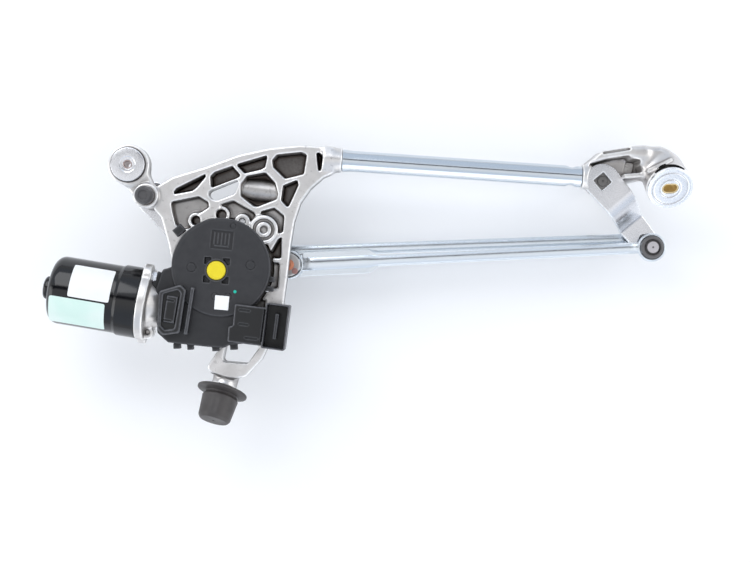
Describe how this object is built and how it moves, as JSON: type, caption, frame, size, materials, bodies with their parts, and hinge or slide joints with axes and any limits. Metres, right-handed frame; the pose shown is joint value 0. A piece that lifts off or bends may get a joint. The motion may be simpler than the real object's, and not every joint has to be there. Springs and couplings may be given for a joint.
{
  "type": "wiper linkage",
  "caption": "Windscreen wiper linkage: a worm-gear motor on a cast honeycomb frame swings two spindles through a crank, ball-jointed rods and levers.",
  "frame": {"origin": "centre of the left mounting bush, in the plane of the support tube's axis", "axes": "+X from the driver's side to the passenger's side along the linkage, +Y away from the rubber foot, +Z towards the motor's cover; the wiper spindles point to -Z"},
  "size_m": [0.6123, 0.2674, 0.124],
  "materials": {
    "cast_aluminium": "as cast, lightly blasted",
    "tube_steel": "zinc plated drawn tube, bright",
    "zinc_plate": "bright zinc plate",
    "dark_steel": "oiled dark steel",
    "turned_steel": "turned and ground",
    "rubber": "matt moulded rubber",
    "black_paint": "gloss black",
    "black_plastic": "fine grained moulding",
    "grey_plastic": "moulded acetal",
    "yellow_plastic": "moulded plug",
    "bronze": "oil soaked sintered bronze",
    "nylon": "moulded nylon",
    "magnet": "sintered ferrite",
    "copper": "wound copper and tinned terminals"
  },
  "bodies": {
    "mounting_frame": {"frame_casting": "cast_aluminium", "support_tube": "tube_steel", "pivot_casting": "cast_aluminium", "left_bush_rubber": "rubber", "left_bush_sleeve": "zinc_plate", "right_bush_rubber": "rubber", "right_bush_sleeve": "zinc_plate", "foot_grommet": "rubber", "gear_housing": "cast_aluminium", "gear_cover": "black_plastic", "vent_plug": "yellow_plastic", "connector_pin_1": "copper", "connector_pin_2": "copper", "connector_pin_3": "copper", "connector_pin_4": "copper", "motor_can": "black_paint", "field_magnet_1": "magnet", "field_magnet_2": "magnet", "motor_screw_1": "zinc_plate", "motor_screw_2": "zinc_plate", "driver_bearing": "bronze", "passenger_bearing": "bronze", "gearbox_screw_1": "zinc_plate", "gearbox_screw_2": "zinc_plate", "gearbox_screw_3": "zinc_plate"},
    "motor_crank": {"worm_wheel": "nylon", "output_shaft": "turned_steel", "motor_crank": "dark_steel", "crank_pin_rivet": "bronze", "crank_nut": "zinc_plate"},
    "motor_armature": {"armature": "copper"},
    "passenger_arm": {"passenger_lever": "zinc_plate", "passenger_spindle": "turned_steel", "outer_ball_stud": "turned_steel", "inner_ball_stud": "turned_steel", "passenger_retaining_ring": "dark_steel"},
    "driver_arm": {"driver_lever": "zinc_plate", "driver_spindle": "turned_steel", "driver_ball_stud": "turned_steel", "driver_spindle_cap": "black_plastic"},
    "drive_link": {"drive_rod": "zinc_plate", "drive_rod_lever_socket": "grey_plastic", "drive_rod_crank_socket": "grey_plastic", "crank_ball_stud": "turned_steel"},
    "coupling_link": {"coupling_rod": "zinc_plate", "coupling_rod_passenger_socket": "grey_plastic", "coupling_rod_driver_socket": "grey_plastic"}
  },
  "joints": [
    {"name": "passenger_spindle_turn", "type": "hinge", "parent": "mounting_frame", "child": "passenger_arm", "pos_m": [0.451, -0.0142, -0.016], "axis": [0, 0, -1], "range_deg": [0, 99.09]},
    {"name": "driver_spindle_turn", "type": "hinge", "parent": "mounting_frame", "child": "driver_arm", "pos_m": [0.017, -0.0295, -0.042], "axis": [0, 0, -1], "range_deg": [0, 99.14]},
    {"name": "crank_turn", "type": "hinge", "parent": "mounting_frame", "child": "motor_crank", "pos_m": [0.0893, -0.0969, -0.0226], "axis": [0, 0, -1], "range_deg": [0, 174.81]},
    {"name": "drive_rod_swing", "type": "hinge", "parent": "passenger_arm", "child": "drive_link", "pos_m": [0.50323, -0.07689, -0.0375], "axis": [0, 0, -1], "range_deg": [-104.38, 0]},
    {"name": "coupling_rod_swing", "type": "hinge", "parent": "passenger_arm", "child": "coupling_link", "pos_m": [0.49594, -0.06813, -0.0525], "axis": [0, 0, -1], "range_deg": [-99.14, 0]},
    {"name": "armature_spin", "type": "hinge", "parent": "mounting_frame", "child": "motor_armature", "pos_m": [0.08171, -0.14227, 0.008], "axis": [0.9863, -0.165, 0], "range_deg": [0, 10485.53]}
  ],
  "couplings": [
    {"joint": "driver_spindle_turn", "follows": "passenger_spindle_turn", "ratio": 1},
    {"joint": "crank_turn", "follows": "passenger_spindle_turn", "ratio": 1.7636},
    {"joint": "drive_rod_swing", "follows": "passenger_spindle_turn", "ratio": -1.0529},
    {"joint": "coupling_rod_swing", "follows": "passenger_spindle_turn", "ratio": -1},
    {"joint": "armature_spin", "follows": "passenger_spindle_turn", "ratio": 105.82}
  ]
}
